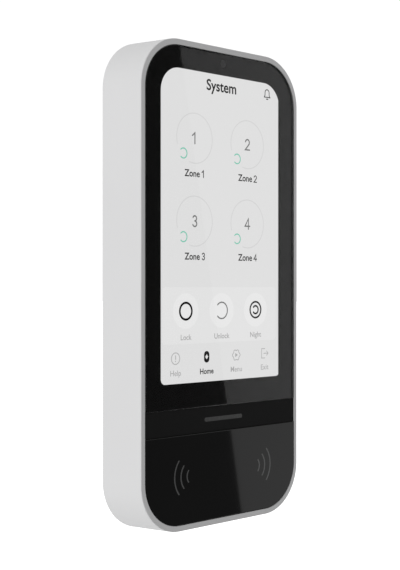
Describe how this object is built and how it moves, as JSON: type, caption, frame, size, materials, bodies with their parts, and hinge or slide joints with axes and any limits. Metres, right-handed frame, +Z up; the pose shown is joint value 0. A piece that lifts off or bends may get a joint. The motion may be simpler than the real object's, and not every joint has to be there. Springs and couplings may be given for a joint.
{
  "type": "alarm keypad panel",
  "caption": "Slim wall-mounted alarm keypad: white drafted shell, black glass front with a tall lit touchscreen, matte band, contactless reader panel and hook-on wall plate.",
  "frame": {"origin": "middle of the wall face: the centre of the wall plate's back plane, at mid height of the keypad", "axes": "+X across the front to the right as a user faces it, +Y into the wall, +Z up"},
  "size_m": [0.0822, 0.0198, 0.1728],
  "materials": {
    "white_plastic": "fine satin moulded ABS",
    "cover_glass": "clear polished glass",
    "black_print": "black screen print",
    "gloss_black": "high gloss black",
    "matte_black": "fine matte black",
    "light_guide": "translucent smoke",
    "mark_print": "grey ink",
    "sensor_tint": "dark tinted window",
    "adhesive": "black foam tape",
    "foam": "black foam",
    "lit_panel": "lit display",
    "backlight": "white reflector",
    "sheet_metal": "stamped bright steel",
    "frame_plastic": "black glass-filled nylon",
    "clear_plastic": "clear acrylic",
    "circuit_board": "green solder mask",
    "black_board": "black solder mask",
    "chip": "black epoxy",
    "connector": "ivory nylon",
    "copper": "bare copper",
    "ferrite": "grey ferrite sheet",
    "led": "white chip lights",
    "flex": "amber polyimide",
    "tin": "tinned",
    "buzzer_black": "black",
    "spring_steel": "nickel plated",
    "button_grey": "grey",
    "terminal_green": "green nylon",
    "screw_steel": "zinc plated",
    "back_plastic": "grey textured ABS",
    "label": "blank white film",
    "cell": "printed steel can",
    "plate_plastic": "white textured ABS"
  },
  "bodies": {
    "wall_plate": {"mounting_plate": "plate_plastic", "holding_screw": "screw_steel"},
    "keypad": {"front_shell": "white_plastic", "display_glass": "cover_glass", "glass_print": "black_print", "light_sensor_window": "sensor_tint", "glass_adhesive": "adhesive", "panel_adhesive": "adhesive", "status_band": "matte_black", "status_light_guide": "light_guide", "reader_panel": "gloss_black", "reader_marks": "mark_print", "display_panel": "lit_panel", "display_backlight": "backlight", "display_tray": "sheet_metal", "display_gasket": "foam", "mid_frame": "frame_plastic", "sensor_light_pipe": "clear_plastic", "main_board": "circuit_board", "board_screws": "screw_steel", "processor": "chip", "memory_chip": "chip", "light_sensor": "chip", "board_connectors": "connector", "radio_shield": "tin", "radio_antennas": "copper", "buzzer": "buzzer_black", "reader_board": "black_board", "reader_coil": "copper", "reader_ferrite": "ferrite", "status_leds": "led", "display_flex": "flex", "touch_flex": "flex", "reader_flex": "flex", "tamper_switch": "chip", "tamper_spring": "spring_steel", "power_switch": "chip", "terminal_header": "terminal_green", "rear_cover": "back_plastic", "rating_label": "label", "rear_cover_screws": "screw_steel", "battery_tray": "frame_plastic", "battery_cells": "cell", "battery_contacts": "spring_steel", "battery_springs": "spring_steel", "battery_cover": "back_plastic", "battery_cover_screws": "screw_steel"},
    "tamper_pin": {"tamper_plunger": "button_grey"},
    "power_key": {"power_button": "button_grey"},
    "supply_plug": {"terminal_plug": "terminal_green", "terminal_screws": "screw_steel"}
  },
  "joints": [
    {"name": "keypad_lift", "type": "slide", "parent": "wall_plate", "child": "keypad", "axis": [0, 0, 1], "range_m": [0, 0.007]},
    {"name": "tamper_press", "type": "slide", "parent": "keypad", "child": "tamper_pin", "axis": [0, 1, 0], "range_m": [-0.0008, 0], "stiffness_N_per_m": 150, "springref_m": 0.002, "deforming": ["tamper_spring"]},
    {"name": "power_press", "type": "slide", "parent": "keypad", "child": "power_key", "axis": [0, -1, 0], "range_m": [0, 0.0006], "stiffness_N_per_m": 1500, "springref_m": -0.0003},
    {"name": "supply_plug_pull", "type": "slide", "parent": "keypad", "child": "supply_plug", "axis": [0, 0, -1], "range_m": [0, 0.005]}
  ]
}
